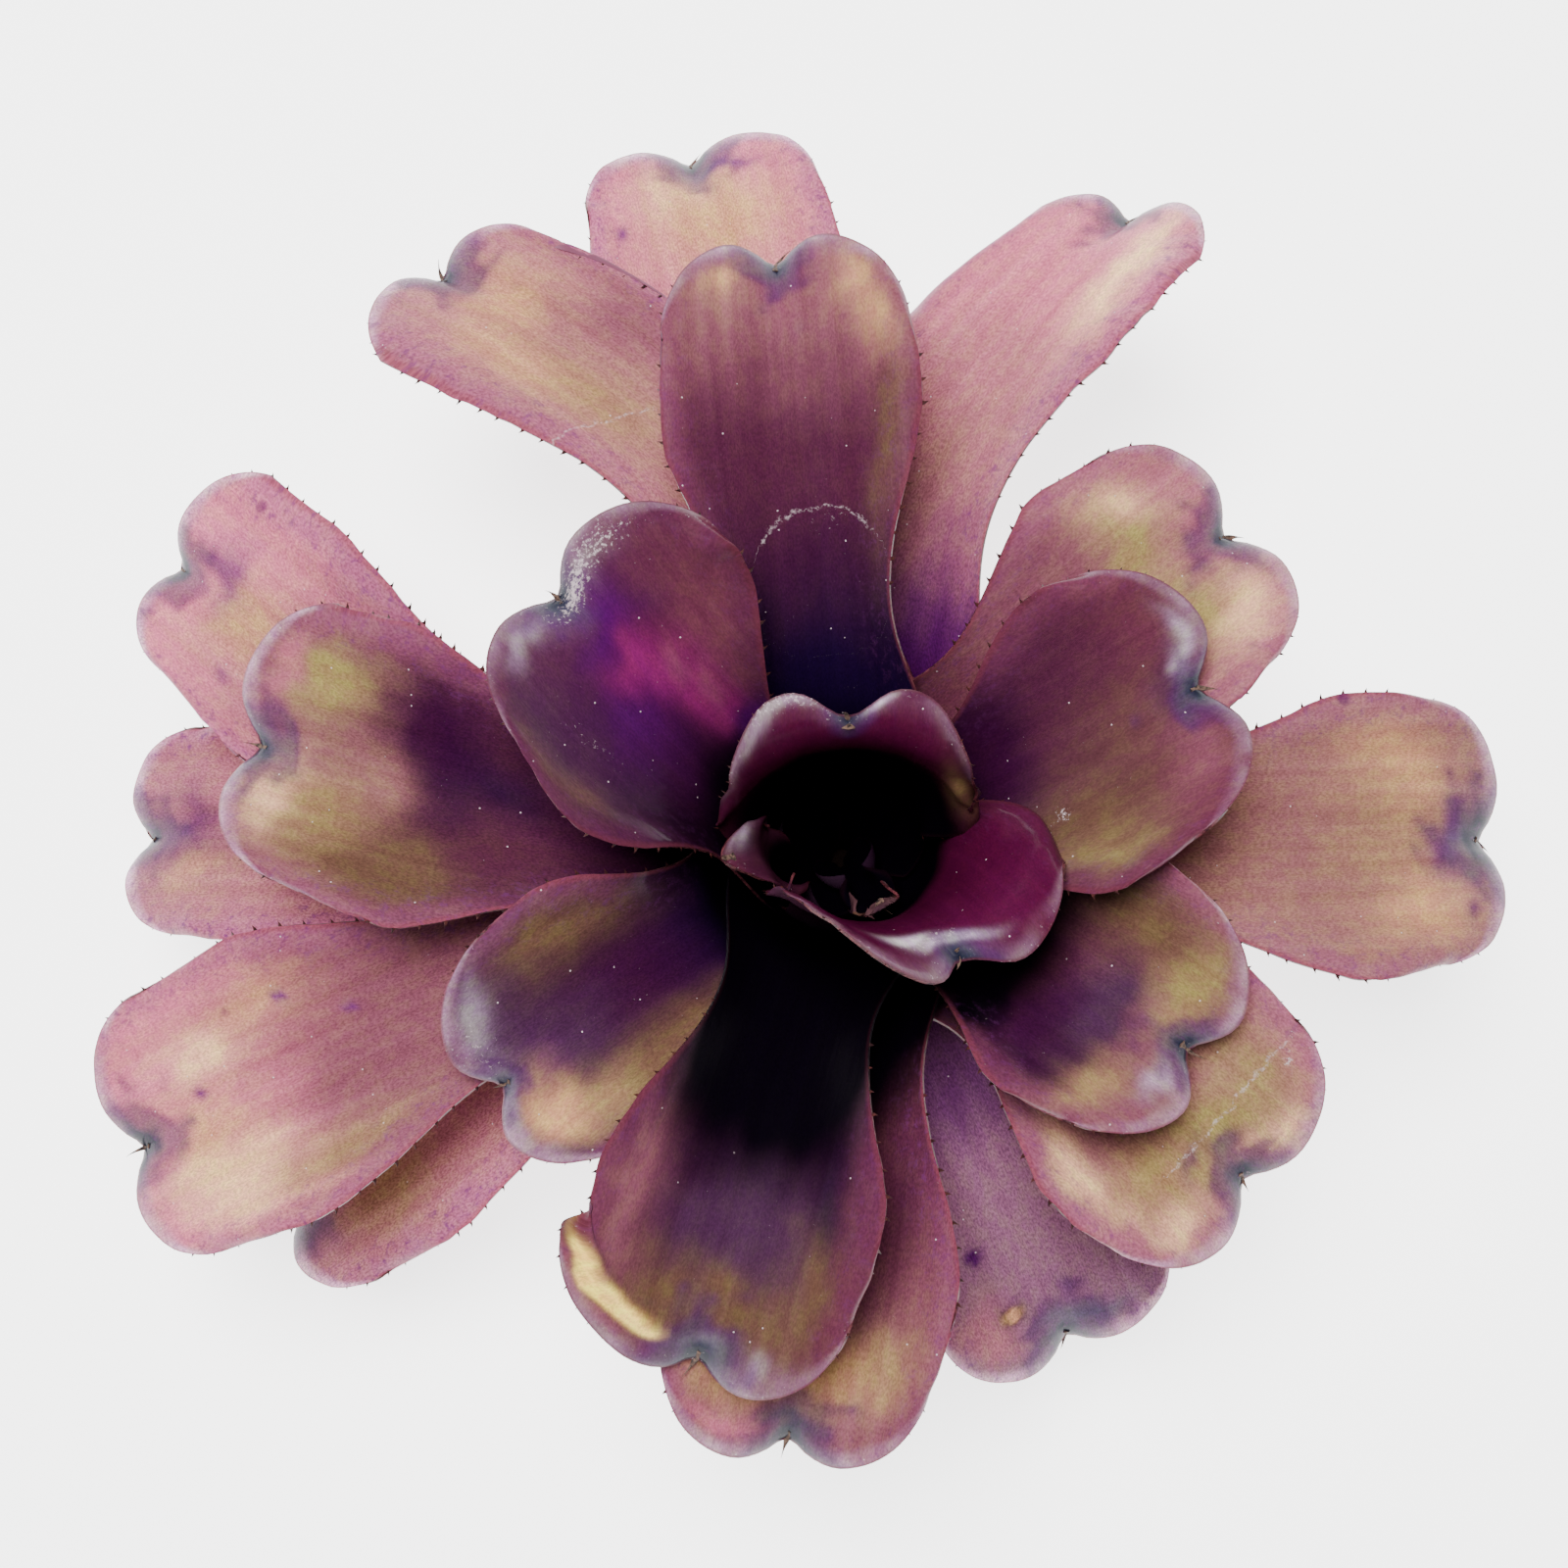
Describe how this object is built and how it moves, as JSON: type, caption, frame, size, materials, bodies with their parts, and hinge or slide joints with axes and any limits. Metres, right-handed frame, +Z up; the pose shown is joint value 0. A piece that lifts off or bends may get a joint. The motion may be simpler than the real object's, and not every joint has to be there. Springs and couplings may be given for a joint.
{
  "type": "neoregelia hybrid",
  "caption": "Bromeliad rosette of broad, glossy purple strap leaves with notched ends, nested in a water-holding cup on a short stem with a flat cut foot.",
  "frame": {"origin": "centre of the flat cut end of the stem, the face that the plant stands on", "axes": "+Z up along the stem, -Y towards the viewer's side, +X to the picture's right"},
  "size_m": [0.4342, 0.4173, 0.1688],
  "materials": {
    "stem": "matte, fibrous, cut flat below",
    "young_leaf": "satin, reddish young leaf",
    "inner_leaf": "glossy, dark plum with olive patches",
    "outer_leaf": "glossy, mauve with olive patches and dark tips"
  },
  "bodies": {
    "root": {"stem": "stem", "leaf_01": "young_leaf", "leaf_02": "young_leaf", "leaf_03": "inner_leaf", "leaf_04": "inner_leaf", "leaf_05": "inner_leaf", "leaf_06": "inner_leaf", "leaf_07": "inner_leaf", "leaf_08": "inner_leaf", "leaf_09": "inner_leaf", "leaf_10": "inner_leaf", "leaf_11": "outer_leaf", "leaf_12": "outer_leaf", "leaf_13": "outer_leaf", "leaf_14": "outer_leaf", "leaf_15": "outer_leaf", "leaf_16": "outer_leaf", "leaf_17": "outer_leaf", "leaf_18": "outer_leaf", "leaf_19": "outer_leaf", "leaf_20": "outer_leaf", "leaf_21": "outer_leaf", "leaf_22": "outer_leaf", "leaf_23": "outer_leaf"}
  },
  "joints": []
}
